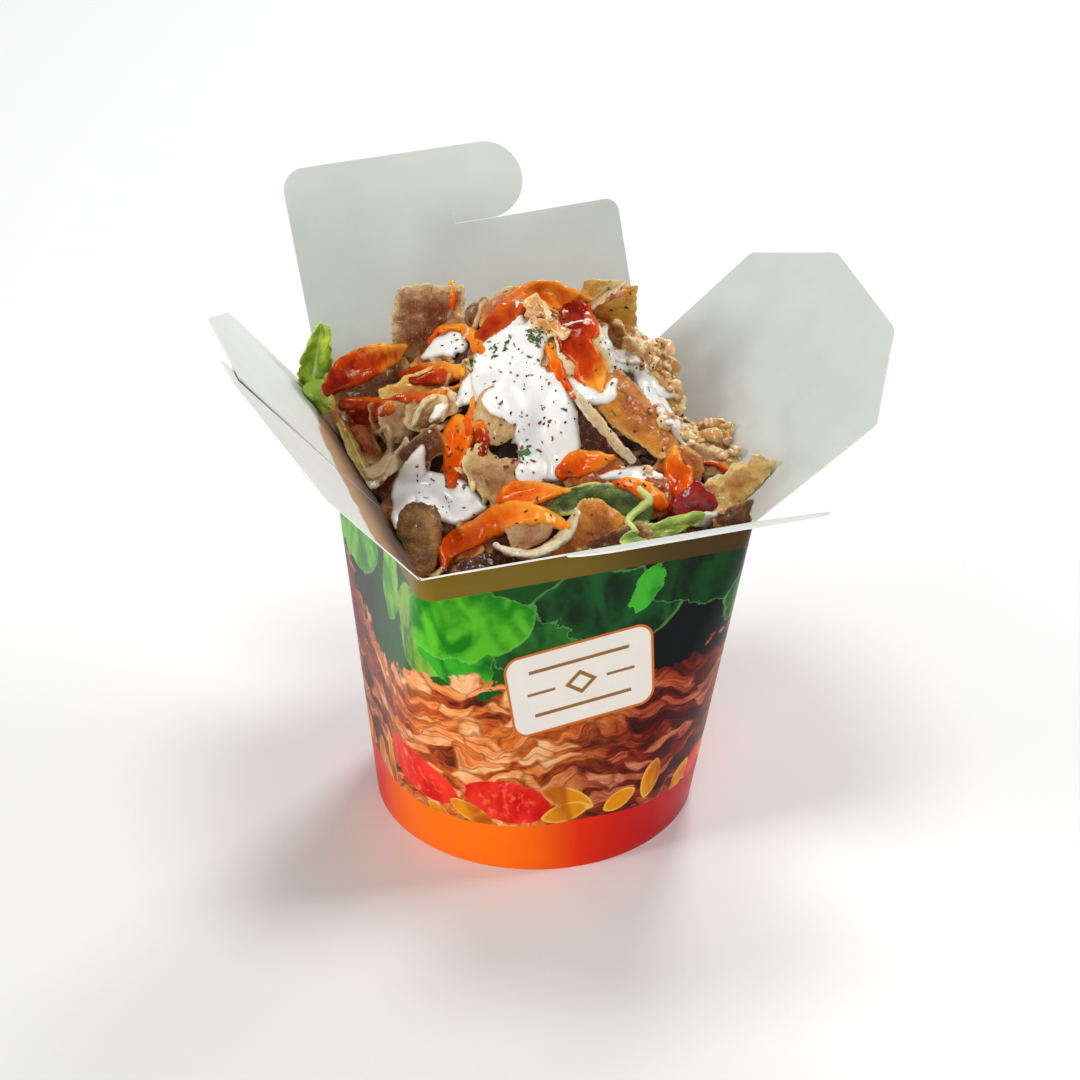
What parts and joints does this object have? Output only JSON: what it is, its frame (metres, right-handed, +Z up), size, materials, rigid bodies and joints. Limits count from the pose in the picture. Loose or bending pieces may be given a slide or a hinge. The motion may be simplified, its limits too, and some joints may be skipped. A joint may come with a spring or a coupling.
{
  "type": "kebab box",
  "caption": "Paperboard takeaway box with a round base and a square mouth, its four hook-tab lid flaps open, heaped with sliced kebab meat, lettuce and sauces.",
  "frame": {"origin": "centre of the underside of the round base", "axes": "+Z up, -Y towards the front, +X towards the object's right as seen from the front; the four sides of the square mouth run along X and Y"},
  "size_m": [0.1804, 0.1838, 0.1572],
  "materials": {
    "print": "glossy printed paperboard",
    "board": "satin white paperboard",
    "filling": "moist chopped meat and salad",
    "meat": "moist roasted meat",
    "lettuce": "moist fresh leaf",
    "tomato": "wet",
    "garlic_sauce": "glossy thick sauce",
    "chilli_sauce": "glossy translucent sauce"
  },
  "bodies": {
    "packed_box": {"base": "board", "chilli_dome": "chilli_sauce", "chilli_front": "chilli_sauce", "chilli_inner": "chilli_sauce", "chilli_middle": "chilli_sauce", "chilli_peak": "chilli_sauce", "chilli_right": "chilli_sauce", "chilli_strip": "chilli_sauce", "chilli_tongue": "chilli_sauce", "chilli_top": "chilli_sauce", "filling": "filling", "garlic_dollop": "garlic_sauce", "garlic_left": "garlic_sauce", "garlic_main": "garlic_sauce", "garlic_right": "garlic_sauce", "lettuce_front": "lettuce", "lettuce_left": "lettuce", "lettuce_rim": "lettuce", "lettuce_stem": "lettuce", "lettuce_tail": "lettuce", "meat_back_left": "meat", "meat_back_middle": "meat", "meat_back_right": "meat", "meat_broad_right": "meat", "meat_corner_back": "meat", "meat_crescent": "meat", "meat_curl_left": "meat", "meat_dome_left": "meat", "meat_fold_middle": "meat", "meat_front_broad": "meat", "meat_left_inner": "meat", "meat_left_upper": "meat", "meat_nub_front": "meat", "meat_orange_front": "meat", "meat_orange_middle": "meat", "meat_orange_right": "meat", "meat_oval": "meat", "meat_pale_strip": "meat", "meat_ragged_back": "meat", "meat_ragged_middle": "meat", "meat_ragged_right": "meat", "meat_right_lower": "meat", "meat_right_upper": "meat", "meat_roll_front": "meat", "meat_standing_back": "meat", "meat_strip_left": "meat", "meat_tip_right": "meat", "meat_tongue": "meat", "meat_top_back": "meat", "meat_triangle": "meat", "meat_under_strip": "meat", "meat_under_tip": "meat", "meat_yellow_left": "meat", "tomato": "tomato", "wall": "print"},
    "lid_back": {"flap_back": "board"},
    "lid_front": {"flap_front": "board"},
    "lid_left": {"flap_left": "board"},
    "lid_right": {"flap_right": "board"}
  },
  "joints": [
    {"name": "fold_back", "type": "hinge", "parent": "packed_box", "child": "lid_back", "pos_m": [0, 0.04625, 0.104], "axis": [-1, 0, 0], "range_deg": [-30, 74]},
    {"name": "fold_front", "type": "hinge", "parent": "packed_box", "child": "lid_front", "pos_m": [0, -0.04625, 0.104], "axis": [1, 0, 0], "range_deg": [-45, 54]},
    {"name": "fold_left", "type": "hinge", "parent": "packed_box", "child": "lid_left", "pos_m": [-0.04625, 0, 0.104], "axis": [0, -1, 0], "range_deg": [0, 70]},
    {"name": "fold_right", "type": "hinge", "parent": "packed_box", "child": "lid_right", "pos_m": [0.04625, 0, 0.104], "axis": [0, 1, 0], "range_deg": [0, 57]}
  ]
}
